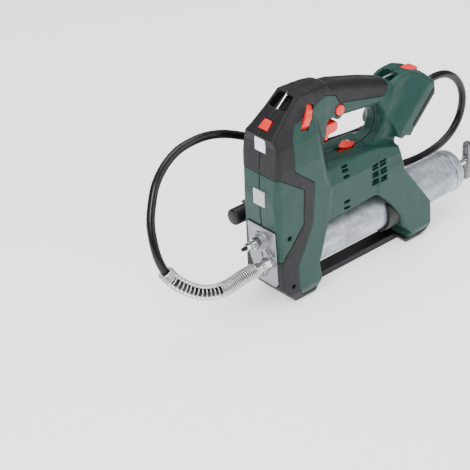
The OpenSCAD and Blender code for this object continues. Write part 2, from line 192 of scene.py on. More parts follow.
def lathe(name, prof, axis, origin, seg=72):
    """prof: (distance along the axis, radius) pairs, turned about the axis through origin. Closed where the radius is 0."""
    a = np.array(axis, float); a /= np.linalg.norm(a)
    u = np.cross(a, [0, 0, 1.0]) if abs(a[2]) < 0.9 else np.cross(a, [1.0, 0, 0])
    u /= np.linalg.norm(u); w = np.cross(a, u)
    th = np.linspace(0, 2 * math.pi, seg, endpoint=False)
    pts = np.concatenate([np.array(origin) + a * t + r * (np.cos(th)[:, None] * u + np.sin(th)[:, None] * w) for t, r in prof])
    n = len(prof)
    faces = [[i * seg + k, i * seg + (k + 1) % seg, (i + 1) * seg + (k + 1) % seg, (i + 1) * seg + k] for i in range(n - 1) for k in range(seg)]
    o = raw_mesh(name, pts, faces)
    import bmesh
    bm = bmesh.new(); bm.from_mesh(o.data)
    bmesh.ops.remove_doubles(bm, verts=bm.verts, dist=1e-6)
    bmesh.ops.dissolve_degenerate(bm, dist=1e-7, edges=bm.edges)
    bmesh.ops.recalc_face_normals(bm, faces=bm.faces)
    bm.to_mesh(o.data); bm.free()
    sharp_by_angle(o, 35)
    return o


def sharp_by_angle(o, deg):
    me = o.data
    me.polygons.foreach_set("use_smooth", np.ones(len(me.polygons), bool))
    import bmesh
    bm = bmesh.new(); bm.from_mesh(me)
    lim = math.radians(deg)
    for e in bm.edges:
        if len(e.link_faces) == 2 and e.calc_face_angle(0) > lim:
            e.smooth = False
    bm.to_mesh(me); bm.free()


def sweep(name, line, r, sides, caps=True):
    """A round tube along a line of points in drawing millimetres, on frames that don't twist."""
    line = np.asarray(line, float)
    t = np.gradient(line, axis=0); t /= np.linalg.norm(t, axis=1)[:, None]
    a = np.cross(t[0], [0, 1, 0.3]); a /= np.linalg.norm(a)
    fr = []
    for k in range(len(line)):
        a = a - (a @ t[k]) * t[k]; a /= np.linalg.norm(a)
        fr.append((a, np.cross(t[k], a)))
    th = np.linspace(0, 2 * math.pi, sides, endpoint=False)
    rr = np.broadcast_to(r, (len(line),))
    pts = np.concatenate([line[k] + rr[k] * (np.cos(th)[:, None] * fr[k][0] + np.sin(th)[:, None] * fr[k][1]) for k in range(len(line))])
    n = len(line)
    i = np.arange(n - 1)[:, None] * sides; k = np.arange(sides)[None]; k2 = (k + 1) % sides
    faces = np.stack([i + k, i + k2, i + sides + k2, i + sides + k], -1).reshape(-1, 4)
    if caps:
        c0, c1 = len(pts), len(pts) + 1
        pts = np.vstack([pts, line[0], line[-1]])
        ends = []
        for j in range(0, sides, 2):
            ends.append([c0, (j + 2) % sides, j + 1, j])
            ends.append([c1, (n - 1) * sides + j, (n - 1) * sides + j + 1, (n - 1) * sides + (j + 2) % sides])
        faces = np.vstack([faces, np.array(ends)])
    return raw_mesh(name, pts, faces)

# ------------------------------------------------------------------ materials
def new_mat(name):
    m = bpy.data.materials.new(name); m.use_nodes = True
    nt = m.node_tree; b = nt.nodes["Principled BSDF"]
    return m, nt, b


def noise(nt, scale, detail=3, rough=0.55, vec=None, stretch=None, dist=0.0):
    n = nt.nodes.new("ShaderNodeTexNoise")
    n.inputs["Scale"].default_value = scale; n.inputs["Detail"].default_value = detail
    n.inputs["Roughness"].default_value = rough; n.inputs["Distortion"].default_value = dist
    tc = nt.nodes.new("ShaderNodeTexCoord")
    src = tc.outputs["Object"]
    if stretch:
        mp = nt.nodes.new("ShaderNodeMapping"); mp.inputs["Scale"].default_value = stretch
        nt.links.new(src, mp.inputs["Vector"]); src = mp.outputs["Vector"]
    nt.links.new(src, n.inputs["Vector"])
    return n


def ramp(nt, src, stops):
    r = nt.nodes.new("ShaderNodeValToRGB")
    els = r.color_ramp.elements
    els[0].position, els[0].color = stops[0][0], (*stops[0][1], 1)
    els[1].position, els[1].color = stops[-1][0], (*stops[-1][1], 1)
    for pos, c in stops[1:-1]:
        e = els.new(pos); e.color = (*c, 1)
    nt.links.new(src, r.inputs["Fac"])
    return r


def rng(nt, src, a, b, lo=0.0, hi=1.0):
    m = nt.nodes.new("ShaderNodeMapRange")
    m.inputs["From Min"].default_value = lo; m.inputs["From Max"].default_value = hi
    m.inputs["To Min"].default_value = a; m.inputs["To Max"].default_value = b
    nt.links.new(src, m.inputs["Value"])
    return m


def bump(nt, b, src, strength, dist):
    n = nt.nodes.new("ShaderNodeBump"); n.inputs["Strength"].default_value = strength; n.inputs["Distance"].default_value = dist
    nt.links.new(src, n.inputs["Height"])
    nt.links.new(n.outputs["Normal"], b.inputs["Normal"])
    return n


def plastic(name, c, c2, rough=(0.38, 0.5), grain=2600, gs=0.12, patch=55, coat=0.0, spec=0.5):
    m, nt, b = new_mat(name)
    n1 = noise(nt, patch, 4, 0.6)
    r = ramp(nt, n1.outputs["Fac"], [(0.35, c), (0.68, c2)])
    nt.links.new(r.outputs["Color"], b.inputs["Base Color"])
    n2 = noise(nt, grain, 2, 0.5)
    n3 = noise(nt, patch * 3, 3, 0.6)
    nt.links.new(rng(nt, n3.outputs["Fac"], rough[0], rough[1], 0.3, 0.7).outputs["Result"], b.inputs["Roughness"])
    bump(nt, b, n2.outputs["Fac"], gs, 0.0004)
    b.inputs["Specular IOR Level"].default_value = spec
    b.inputs["Coat Weight"].default_value = coat
    b.inputs["Coat Roughness"].default_value = 0.25
    return m


def metal(name, c, c2, rough=(0.25, 0.4), metallic=1.0, patch=60, stretch=None, grain=900, gs=0.08, gstretch=None):
    m, nt, b = new_mat(name)
    n1 = noise(nt, patch, 5, 0.6, stretch=stretch, dist=0.4)
    r = ramp(nt, n1.outputs["Fac"], [(0.32, c), (0.7, c2)])
    nt.links.new(r.outputs["Color"], b.inputs["Base Color"])
    n3 = noise(nt, patch * 4, 4, 0.65, stretch=stretch)
    nt.links.new(rng(nt, n3.outputs["Fac"], rough[0], rough[1], 0.3, 0.7).outputs["Result"], b.inputs["Roughness"])
    b.inputs["Metallic"].default_value = metallic
    n2 = noise(nt, grain, 3, 0.6, stretch=gstretch)
    bump(nt, b, n2.outputs["Fac"], gs, 0.0003)
    return m


M_green = plastic("green_plastic", (0.0075, 0.040, 0.032), (0.0105, 0.051, 0.041), (0.38, 0.5), coat=0.0, spec=0.3)
M_black = plastic("black_rubber", (0.006, 0.006, 0.0075), (0.0095, 0.0095, 0.0115), (0.46, 0.58), grain=1800, gs=0.3, spec=0.28)
M_bplast = plastic("black_plastic", (0.005, 0.005, 0.006), (0.0075, 0.0075, 0.009), (0.4, 0.52), grain=2200, gs=0.15, spec=0.3)
M_red = plastic("red_plastic", (0.74, 0.018, 0.013), (0.82, 0.026, 0.018), (0.28, 0.38), gs=0.06, coat=0.15)
M_plate = metal("cast_aluminium", (0.27, 0.27, 0.295), (0.34, 0.34, 0.37), (0.36, 0.48), grain=1500, gs=0.35)
M_zinc = metal("zinc_steel", (0.34, 0.355, 0.36), (0.55, 0.56, 0.57), (0.14, 0.26), patch=140, gs=0.05)
M_coil = metal("zinc_steel_wire", (0.50, 0.51, 0.52), (0.64, 0.65, 0.66), (0.22, 0.34), patch=200, gs=0.02)
M_tee = metal("zinc_steel_handle", (0.12, 0.125, 0.13), (0.24, 0.245, 0.25), (0.2, 0.32), patch=140, gs=0.08)
M_bright = metal("bright_steel", (0.80, 0.80, 0.82), (0.88, 0.88, 0.9), (0.08, 0.16), gs=0.02)
M_brass = metal("brass", (0.55, 0.40, 0.16), (0.66, 0.5, 0.24), (0.25, 0.35))
M_pcb = plastic("circuit_board", (0.01, 0.09, 0.04), (0.015, 0.12, 0.05), (0.3, 0.4))
M_label = plastic("plate_grey", (0.50, 0.50, 0.53), (0.56, 0.56, 0.59), (0.3, 0.38), gs=0.04)


def galvanised():
    m, nt, b = new_mat("galvanised_steel")
    n1 = noise(nt, 26, 6, 0.66, dist=1.6, stretch=(0.5, 1, 1))
    v = nt.nodes.new("ShaderNodeTexVoronoi"); v.inputs["Scale"].default_value = 130
    tc = nt.nodes.new("ShaderNodeTexCoord"); nt.links.new(tc.outputs["Object"], v.inputs["Vector"])
    mx = nt.nodes.new("ShaderNodeMix"); mx.data_type = "FLOAT"
    mx.inputs[0].default_value = 0.12
    nt.links.new(n1.outputs["Fac"], mx.inputs[2]); nt.links.new(v.outputs["Distance"], mx.inputs[3])
    r = ramp(nt, mx.outputs[0], [(0.34, (0.20, 0.222, 0.25)), (0.47, (0.34, 0.37, 0.41)), (0.62, (0.50, 0.53, 0.58))])
    nt.links.new(r.outputs["Color"], b.inputs["Base Color"])
    n3 = noise(nt, 90, 5, 0.7)
    nt.links.new(rng(nt, n3.outputs["Fac"], 0.3, 0.52, 0.3, 0.7).outputs["Result"], b.inputs["Roughness"])
    b.inputs["Metallic"].default_value = 0.72
    n2 = noise(nt, 500, 4, 0.6, stretch=(0.25, 1, 1))
    bump(nt, b, n2.outputs["Fac"], 0.12, 0.0004)
    return m


M_galv = galvanised()


def hose_mat():
    m, nt, b = new_mat("hose_rubber")
    n1 = noise(nt, 80, 3, 0.5)
    r = ramp(nt, n1.outputs["Fac"], [(0.3, (0.0025, 0.0025, 0.003)), (0.7, (0.005, 0.005, 0.0055))])
    nt.links.new(r.outputs["Color"], b.inputs["Base Color"])
    n3 = noise(nt, 200, 3, 0.6)
    nt.links.new(rng(nt, n3.outputs["Fac"], 0.2, 0.3, 0.3, 0.7).outputs["Result"], b.inputs["Roughness"])
    b.inputs["Coat Weight"].default_value = 0.08
    b.inputs["Coat Roughness"].default_value = 0.2
    b.inputs["Specular IOR Level"].default_value = 0.3
    n2 = noise(nt, 700, 2, 0.5)
    bump(nt, b, n2.outputs["Fac"], 0.08, 0.0003)
    return m


M_hose = hose_mat()


def lens_mat():
    m, nt, b = new_mat("lens")
    n1 = noise(nt, 120, 2, 0.5)
    r = ramp(nt, n1.outputs["Fac"], [(0.3, (0.70, 0.72, 0.95)), (0.7, (0.80, 0.82, 1.0))])
    nt.links.new(r.outputs["Color"], b.inputs["Base Color"])
    nt.links.new(rng(nt, n1.outputs["Fac"], 0.12, 0.2).outputs["Result"], b.inputs["Roughness"])
    b.inputs["Emission Color"].default_value = (0.75, 0.77, 1.0, 1)
    b.inputs["Emission Strength"].default_value = 0.35
    return m


M_lens = lens_mat()

# ------------------------------------------------------------------ camera
def make_camera():
    az, el, D = math.radians(-45), math.radians(29.7), 2300.0
    b = np.array([math.sin(az) * math.cos(el), -math.cos(az) * math.cos(el), math.sin(el)])
    ref = np.array([140.0, 0, 110.0])
    pos = ref + b * D
    r = np.array([math.cos(az), math.sin(az), 0]); u = np.cross(b, r)
    f = 0.775 * D
    # the photo's middle, seen from there
    aim = -b + ((229 - 353.1) / f) * r + (-(231 - 175.5) / f) * u
    aim /= np.linalg.norm(aim)
    cam = bpy.data.objects.new("camera", bpy.data.cameras.new("camera"))
    bpy.context.scene.collection.objects.link(cam)
    cam.location = (pos - np.array([XC, 0, 0])) / 1000
    cam.rotation_mode = "QUATERNION"
    turn = Vector(-b).rotation_difference(Vector(aim))
    cam.rotation_quaternion = turn @ Vector(-b).to_track_quat("-Z", "Y")
    cam.data.sensor_width = 36
    cam.data.lens = f / 470 * 36 * (1 - 0.0)
    cam.data.clip_start, cam.data.clip_end = 0.1, 20
    bpy.context.scene.camera = cam


make_camera()

# ------------------------------------------------------------------ hose
hose_pts = [[-60,-18,69],[-80,-18,68],[-102,-17,64],[-122,-15,65],[-142,-12,72],[-159,-7,84],[-173,-3,98],[-182,3,113],[-186,10,131],[-185,18,150],[-180,27,169],[-170,35,188],[-156,43,206],[-136,49,221],[-113,53,230],[-90,54,233],[-67,54,232],[-44,52,227],[-22,50,218],[1,48,206],[25,47,191],[50,46,179],[75,45,168],[100,45,159],[130,45,152],[160,45,148],[190,45,146],[220,45,148],[250,45,154],[278,45,163],[303,45,171],[328,45,175],[350,45,171],[369,45,158],[381,45,140],[385,45,119],[380,45,97],[366,45,79],[346,45,68],[322,45,63],[296,45,62],[268,46,64],[238,47,69],[208,47,76],[178,48,84],[148,49,92],[120,50,99],[95,50,103],[75,50,105],[62,50,105]]
GUARD_N = 7


def catmull(p, i, t):
    n = len(p) - 1
    a, b, c, d = [np.array(p[k], float) for k in (max(i - 1, 0), i, min(i + 1, n), min(i + 2, n))]
    return 0.5 * ((2 * b) + (c - a) * t + (2 * a - 5 * b + 4 * c - d) * t * t + (3 * b - a - 3 * c + d) * t ** 3)


def spaced(line, step):
    line = np.asarray(line, float)
    s = np.concatenate([[0], np.cumsum(np.linalg.norm(np.diff(line, axis=0), axis=1))])
    at = np.linspace(0, s[-1], max(2, int(math.ceil(s[-1] / step)) + 1))
    return np.stack([np.interp(at, s, line[:, k]) for k in range(3)], 1), s[-1]


fine = np.array([catmull(hose_pts, i, k / 16) for i in range(len(hose_pts) - 1) for k in range(16)] + [hose_pts[-1]], float)
line, hose_len = spaced(fine, 4.0)
hose = sweep("grease_hose", line, 5.43, 28)
finishing(hose, "housing", M_hose, "hose_rubber", "hose")
guard_line = np.array([catmull(hose_pts, i, k / 16) for i in range(GUARD_N) for k in range(16)] + [hose_pts[GUARD_N]], float)


def coil(name, path, R, wire, spans, per=26, sides=8):
    """A wire wound round the path: spans are (length, pitch) one after another."""
    pl, total = spaced(path, 0.5)
    s = np.linspace(0, total, len(pl))
    scale = total / sum(a for a, _ in spans)
    # angle as a function of arc length
    at, ang, k = [0.0], [0.0], 0
    for length, pitch in spans:
        at.append(at[-1] + length * scale); ang.append(ang[-1] + length * scale / pitch)
    turns = ang[-1]
    a = np.linspace(0, turns, int(turns * per))
    ss = np.interp(a, ang, at)
    ss = np.clip(ss, wire / 2 + 0.3, total - wire / 2 - 0.3)
    t = np.gradient(pl, axis=0); t /= np.linalg.norm(t, axis=1)[:, None]
    n0 = np.cross(t[0], [0, 1, 0.3]); n0 /= np.linalg.norm(n0)
    fa = []
    for q in t:
        n0 = n0 - (n0 @ q) * q; n0 /= np.linalg.norm(n0); fa.append(n0)
    fa = np.array(fa)
    P = np.stack([np.interp(ss, s, pl[:, j]) for j in range(3)], 1)
    T = np.stack([np.interp(ss, s, t[:, j]) for j in range(3)], 1); T /= np.linalg.norm(T, axis=1)[:, None]
    A = np.stack([np.interp(ss, s, fa[:, j]) for j in range(3)], 1)
    A -= (A * T).sum(1)[:, None] * T; A /= np.linalg.norm(A, axis=1)[:, None]
    B = np.cross(T, A)
    th = 2 * math.pi * a
    helix = P + R * (np.cos(th)[:, None] * A + np.sin(th)[:, None] * B)
    return sweep(name, helix, wire / 2, sides)


guard = coil("guard_coil", guard_line, 9.05, 1.8, [(54, 2.7), (76, 6.3), (12, 2.5)], per=28, sides=8)
finishing(guard, "housing", M_coil, "zinc_steel", "spring_guard")

# ------------------------------------------------------------------ housing
def housing_field(g):
    x, y, z = g.x, g.y, g.z
    ya = abs(y)
    sec_f = [[28,-1],[36,20],[36,195],[31,225],[23.5,245],[20,262],[18,284],[-18,284],[-20,262],[-23.5,245],[-31,225],[-36,195],[-36,20],[-28,-1]]
    plan_f = [[-60,-27],[-33,-27],[-26,-34],[12,-36.5],[90,-36.5],[90,36.5],[12,36.5],[-26,34],[-33,27],[-60,27]]
    F = rint(poly2(p_front, x, z), poly2(sec_f, y, z), 3.2)
    F = rint(F, poly2(plan_f, x, y), 2.2)
    cx, cz = local(g, (52.5, 146), -11.9)
    F = cut(F, np.maximum(poly2([[-0.5,38],[18,17],[60,17],[60,60],[-0.5,60]], cx, ya), -cz), 4)
    sec_b = [[34,80],[34,146],[28,166],[17,178],[-17,178],[-28,166],[-34,146],[-34,80]]
    Bd = rint(poly2(p_body, x, z), poly2(sec_b, y, z), 2.5)
    sec_r = [[28,-1],[36,20],[36,128],[28,150],[-28,150],[-36,128],[-36,20],[-28,-1]]
    R = rint(poly2(p_rear, x, z), poly2(sec_r, y, z), 4)
    Hn = rint(poly2(p_handle, x, z) , ya - 17, 12)
    P = rint(poly2(p_post, x, z), ya - 17.5, 6)
    lx, lz = rail(g)
    plan_m = [[-90,-20],[-46,-20],[-22,-36],[5,-36],[5,36],[-22,36],[-46,20],[-90,20]]
    Mt = rint(rint(poly2(p_mount, x, z), ya - 36, 6), poly2(plan_m, lx, y), 3)
    # crown of the mount's top, across the tool
    crown = (z - (249.5 - 0.010 * y * y - 0.36 * np.maximum(x - 214, 0) - 0.12 * np.maximum(205 - x, 0)))
    Mt = rint(Mt, crown * 0.9, 4)
    d = runi(F, Bd, 3.5)
    d = runi(d, R, 4)
    d = runi(d, P, 9)
    d = runi(d, Hn, 9)
    d = runi(d, Mt, 8)
    # never past the CAD's sides
    return rint(rint(d, ya - 36.0, 0.5), z - 280.9, 0.5)


def housing_cuts(g, d, side):
    x, y, z = g.x, g.y, g.z
    ya = abs(y)
    # barrel bore
    d = cut(d, np.maximum(np.sqrt(y * y + (z - 57) ** 2) - 29.4, 22 - x), 0.8)
    # pump head face
    pl = poly2([[-25.4,112.5],[25.4,112.5],[25.4,61],[12,29.5],[-21,29.5],[-25.4,36]], y * side, z)
    d = cut(d, np.maximum(pl, x + 16), 0.4)
    # trigger slot, lock button, dial, selector
    d = cut(d, box(x, y, z, 66.4, 92.5, -8, 8, 185, 246), 0.8)
    d = cut(d, box(x, y, z, 66.4, 93, -13.9, 13.9, 185, 226.4), 0.6)
    if side > 0:
        d = cut(d, np.maximum(np.sqrt((x - 90) ** 2 + (z - 235) ** 2) - 7.5, y + 8), 0.8)
    lx, lz = local(g, (28, 246), 120)
    d = cut(d, np.maximum(np.sqrt(y * y + lx * lx) - 27.6, abs(lz) - 5.8), 0.8)
    d = cut(d, np.maximum(np.maximum(np.maximum(171.4 - 0.1148 * (x - 84) - z, z - 196), ya - 9), np.maximum(84 - x, x - 136)), 0.6)
    d = cut(d, box(x, y, z, 98, 122.6, -5.2, 5.2, 155, 190))
    # work light, its button, name plate
    d = cut(d, box(x, y, z, -60, -22, -9.3, 9.3, 216.7, 235.3, 1.5), 0.5)
    lx, lz = slope(g, -18, 249.5)
    d = cut(d, box(lx, y, lz, -7.4, 7.4, -8.4, 8.4, -9, 9, 1), 0.5)
    d = cut(d, box(x, y, z, -60, -30.6, -10.3, 10.3, 143.3, 164.7, 0.8), 0.3)
    # front strap recess
    lx, lz = slope(g, 8, 272.2)
    d = cut(d, rint(poly2([[-10.5,-11],[-9,-15.5],[9,-13],[10.5,-9],[10.5,9],[9,13],[-9,15.5],[-10.5,11]], lx, y), -13 - lz, 2), 1.2)
    # rear strap recess
    d = cut(d, box(x, y, z, 180, 198, -12, 12, 229, 262, 2), 1.0)
    # battery release pocket, contact recess
    lx, lz = local(g, (226, 238), 20)
    d = cut(d, box(lx, y, lz, -13.5, 11.0, -9.6, 9.6, -9, 20, 1.2), 0.8)
    lx, lz = rail(g)
    d = cut(d, box(lx, y, lz, -7, 12, -24, 24, 8, 50, 1), 0.6)
    # base bar
    d = cut(d, box(x, y, z, 25, 212, -10.1, 10.1, -3, 9.05))
    # vents
    for z0, z1 in ((144.6, 147.0), (140.2, 142.6), (133.6, 136.0), (129.4, 131.8), (122.8, 125.2), (118.6, 121.0)):
        for x0, x1 in ((131, 141.2), (144.2, 155)):
            zz = z - 0.06 * (x - 143)
            d = cut(d, np.maximum(box(x, y, zz, x0, x1, -60, 60, z0, z1, 0.4), 29 - ya), 0.25)
    for z0, z1, dp in ((160.6, 163.2, 20), (155.4, 158.0, 22), (147.6, 150.2, 26), (112.2, 114.8, 28), (103.4, 106.0, 28)):
        d = cut(d, np.maximum(box(x, y, z + 0.05 * (x - 85), 81, 90.5, -60, 60, z0, z1, 0.4), dp - ya), 0.25)
    # screw holes
    for sx, sz, hs in SCREWS:
        if hs == side:
            d = cut(d, np.maximum(np.sqrt((x - sx) ** 2 + (z - sz) ** 2) - 3.0, 24 - ya), 0.5)
    # finger ribs under the handle
    for cx, cz in ((116, 217.6), (136, 215.0), (155, 212.4)):
        d = cut(d, box((x - cx) - 0.5 * (z - cz), y, z, -1.6, 1.6, -17, 17, cz - 2, cz + 4.2, 1.2), 0.7)
    return d


SCREWS = [(-14, 102, 1), (-9, 30, 1), (158, 112, -1), (170, 150, -1), (214, 14, -1), (216, 196, -1), (152, 236, -1)]


def build_housing():
    g = Grid((-36, -38, -2), (248, 2, 285), H)
    x, y, z = g.x, g.y, g.z
    base = housing_field(g)
    bk, ns = poly2(p_black, x, z), poly2(p_nose, x, z)
    shoe = np.maximum(180 - x, z - 10)
    lx, lz = rail(g)
    trim = poly2([[-9.5,4],[-5.5,0.5],[-1.5,3],[-1.5,56],[-5,61],[-9.5,58]], lx, lz)
    for side, tag in ((1, "right"), (-1, "left")):
        d = housing_cuts(g, base, side)
        half = y + 0.12
        d = rint(d, half, 0.7)
        green = rint(d + 0.5, -bk + 0.12, 0.5)
        green = rint(green, -shoe + 0.1, 0.4)
        # band for the black rail edge, and the raised panel beside it
        rimcut = np.maximum(trim, -y - 60)
        green = cut(green, np.maximum(trim, y + 31), 0.3)
        groove = abs(poly2([[-21,8],[-17,4],[-12.5,5],[-12.5,55],[-16,59],[-21,56]], lx, lz)) - 0.45
        green = cut(green, np.maximum(groove, y + 34.9), 0.3)
        nose = rint(d + 0.5, ns + 0.12, 0.5)
        blk = rint(rint(d, bk + 0.12, 0.7), -ns + 0.12, 0.7)
        shoe_d = rint(rint(d, shoe + 0.1, 0.6), -bk, 0)
        tr = rint(rint(base, trim + 0.15, 0.5), y + 31.2, 0.4)
        mir = side < 0
        for nm, f, mat, slot, node in (("housing_%s_shell" % tag, green, M_green, "green_plastic", "housing_" + tag), ("nose_%s_shell" % tag, nose, M_green, "green_plastic", "nose_cover_" + tag),
                                       ("overmould_%s_skin" % tag, blk, M_black, "black_rubber", "overmould_" + tag), ("rear_shoe_%s_pad" % tag, shoe_d, M_black, "black_rubber", "rear_shoe_" + tag)):
            o = mesh_of(g, f, nm, mirror=mir)
            finishing(o, "housing", mat, slot, node)
        o = mesh_of(g, tr, "rail_edge_" + tag, mirror=mir)
        finishing(o, "housing", M_bplast, "black_plastic")


build_housing()

# ------------------------------------------------------------------ small pieces as fields
def field_piece(name, lo, hi, fn, body, mat, slot, *nodes, h=None):
    g = Grid(lo, hi, h or HS)
    return finishing(mesh_of(g, fn(g), name), body, mat, slot, *nodes)


def f_trigger(g):
    x, y, z = g.x, g.y, g.z
    ya = abs(y)
    fl = rint(poly2([[67.4,199.4],[72.4,198.2],[74.6,204],[75,219.2],[67.4,219.2]], x, z), ya - 12.9, 1.2)
    tab = rint(poly2([[69,205.5],[76,204.2],[86,204.4],[90.5,207.6],[91,215.6],[88,218.9],[69,219.2]], x, z), ya - 12.6, 1.8)
    stem = rint(poly2([[68.4,208],[83.6,211],[83.6,240],[68.4,240]], x, z), ya - 6.3, 1)
    stem = cut(stem, box(x, y, z, 71, 81, -4, 4, 222, 250))
    return runi(runi(fl, tab, 2.2), stem, 1.0)


field_piece("trigger_blade", (66, -14.5, 197), (93, 14.5, 242), f_trigger, "trigger", M_red, "red_plastic", "trigger")


def f_dial(g):
    lx, lz = local(g, (28, 246), 120)
    y = g.y
    r = np.sqrt(y * y + lx * lx); th = np.arctan2(y + 0 * lx, lx + 0 * y)
    d = rint(r - 25.6 - 0.35 * np.cos(18 * th), abs(lz) - 5, 1.2)
    d = cut(d, r - 4.05)
    d = cut(d, rint(r - 19, 3.2 - abs(lz), 0.5))
    for k in range(9):
        a = math.radians(40 * k + 20)
        d = cut(d, np.sqrt((y - 25.9 * math.sin(a)) ** 2 + (lx - 25.9 * math.cos(a)) ** 2 + lz ** 2) - 1.15)
    return d


field_piece("speed_dial_wheel", (7, -28, 218), (49, 28, 274), f_dial, "speed_dial", M_red, "red_plastic", "speed_dial")


def f_lock(g):
    x, y, z = g.x, g.y, g.z
    r = np.sqrt((x - 90) ** 2 + (z - 235) ** 2)
    head = rint(r - 7, np.maximum(-19 + 0.018 * r * r - y, y + 11.9), 0.9)
    return runi(head, np.maximum(r - 2.4, abs(y + 1.5) - 10.5), 0.3)


field_piece("lock_knob", (81, -20, 226), (99, 10.5, 244), f_lock, "lock_button", M_red, "red_plastic", "lock_button")


def f_sel(g):
    x, y, z = g.x, g.y, g.z
    # along the top of the motor housing, which falls to the rear
    zz = z + 0.1148 * (x - 117)
    plate = rint(poly2([[104.2,0],[108,-4.6],[115,-6.4],[122,-6.0],[129.8,-2.2],[129.8,2.2],[122,6.0],[115,6.4],[108,4.6]], x, y), np.maximum(zz - 171.2, 168.4 - zz), 0.9)
    fin = rint(poly2([[105,169],[129,169],[127,172],[122,174.8],[117,176.2],[112,176],[107,173]], x, zz), abs(y) - 3.6 + 0.02 * (x - 117) ** 2 * 0.8, 1.2)
    neck = box(x, y, z, 112.4, 122, -4.8, 4.8, 163, 169.5)
    keep = box(x, y, z, 108, 126, -8, 8, 160.5, 163.1)
    return np.minimum(np.minimum(runi(plate, fin, 1.5), neck), keep)


field_piece("gear_selector_knob", (102, -9, 159), (132, 9, 179), f_sel, "gear_selector", M_red, "red_plastic", "gear_selector")


def f_ledb(g):
    lx, lz = slope(g, -18, 249.5)
    y = g.y
    d = rint(poly2([[-7,-8],[7,-6.2],[7,6.2],[-7,8]], lx, y), np.maximum(lz - 1.2 + 0.004 * (lx * lx + y * y), -4.6 - lz), 0.9)
    return cut(d, box(lx, y, lz, -4.5, 4.5, -5, 5, -6, -2.5))


field_piece("work_light_button", (-31, -9, 239), (-6, 9, 260), f_ledb, "led_button", M_red, "red_plastic", "led_button")


def f_rel(g):
    lx, lz = local(g, (226, 238), 20)
    y = g.y
    d = rint(rint(abs(lx) - 10.5, abs(y) - 9, 2.0), np.maximum((lz - 2.4 - 0.31 * lx + 0.008 * y * y) * 0.95, -6.5 - lz), 1.0)
    d = cut(d, box(lx, y, lz, -8, 8, -6.5, 6.5, -8, -1.5))
    return d


field_piece("battery_release_key", (212, -10.5, 226), (241, 10.5, 249), f_rel, "battery_release", M_red, "red_plastic", "battery_release_button")


def f_head(g):
    x, y, z = g.x, g.y, g.z
    lean = -27.4 - (z - 30) * (4.0 / 82)
    pl = poly2([[-25,112],[25,112],[25,61.5],[11.6,30],[-20.6,30],[-25,36.5]], y, z)
    d = rint(pl + 0 * x, np.maximum(lean - x, x + 22), 1.3)
    r1 = np.sqrt(y * y + (z - 92) ** 2)
    d = runi(d, rint(r1 - 9.5, np.maximum(-36.9 - x, x + 24), 1.6), 1.6)
    d = runi(d, rint(r1 - 12.5, np.maximum(-33.4 - x, x + 24), 1.2), 1.5)
    r2 = np.sqrt((y + 18) ** 2 + (z - 69) ** 2)
    d = runi(d, rint(r2 - 7.2, np.maximum(-36.9 - x, x + 24), 1.6), 1.6)
    # rib from boss to boss
    e = np.array([-18.0, -23.0]); L2 = float(e @ e)
    t = np.clip((y * e[0] + (z - 92) * e[1]) / L2, 0, 1)
    rr = np.sqrt((y - t * e[0]) ** 2 + (z - 92 - t * e[1]) ** 2)
    d = runi(d, rint(rr - 4, np.maximum(-34.6 - x, x + 24), 1.5), 2)
    d = runi(d, rint(poly2([[-2.2,40],[2.2,40],[2.2,90],[-2.2,90]], y, z), np.maximum(-33.2 - x, x + 24), 1.2), 2)
    # body behind the face
    blk = box(x, y, z, -22.5, 27, -24, 24, 42, 95, 1)
    d = np.minimum(d, blk)
    r0 = np.sqrt(y * y + (z - 57) ** 2)
    d = np.minimum(d, np.maximum(r0 - 33, np.maximum(22 - x, x - 38)))
    d = cut(d, np.maximum(r0 - 28.55, 26 - x))
    d = np.minimum(d, np.maximum(np.sqrt((x - 14) ** 2 + y * y) - 9, abs(z - 98.5) - 4.5))
    d = cut(d, np.maximum(np.sqrt((x - 14) ** 2 + y * y) - 5.05, np.maximum(62 - z, z - 110)))
    d = cut(d, np.maximum(r1 - 3.05, x + 26))
    return cut(d, np.maximum(r2 - 4.05, x + 26))


field_piece("pump_head_casting", (-39, -34, 22), (40, 34, 114), f_head, "housing", M_plate, "cast_aluminium", "pump_head", h=0.6)


def hexd(y, z, af):
    """Distance to a hexagon of that width across flats."""
    a, b = abs(y), abs(z)
    return np.maximum(b, a * 0.8660254 + b * 0.5) - af / 2


def f_bleed(g):
    x, y, z = g.x, g.y, g.z - 92
    r = np.sqrt(y * y + z * z)
    def cyl(x0, x1, rad, e=0.4): return rint(r - rad, np.maximum(x0 - x, x - x1), e)
    def nut(x0, x1, af): return np.maximum(rint(hexd(y, z, af), np.maximum(x0 - x, x - x1), 0.3), r + 0.45 * abs(x - (x0 + x1) / 2) - af * 0.5 - 0.075 * af - 0.22 * (x1 - x0))
    d = np.minimum(cyl(-37, -30, 3, 0.1), nut(-44, -36.9, 13.5))
    d = np.minimum(d, cyl(-50, -44, 5.0))
    d = np.minimum(d, cyl(-47.5, -46.2, 5.6, 0.3))
    d = np.minimum(d, cyl(-51.6, -44, 4.0))
    d = np.minimum(d, nut(-57, -51.6, 9.6))
    return cut(d, np.maximum(r - 2.55, x + 40))


field_piece("bleeder_valve_body", (-58.5, -9, 83), (-29, 9, 101), f_bleed, "housing", M_zinc, "zinc_steel", "bleeder_valve", h=0.3)
pin = lathe("bleeder_push_pin", [(0, 0), (0, 1.9), (0.5, 2.5), (19.0, 2.5), (19.5, 2.0), (19.5, 0)], (1, 0, 0), (-63, 0, 92), 40)
finishing(pin, "bleeder_pin", M_bplast, "black_plastic", "bleeder_pin")


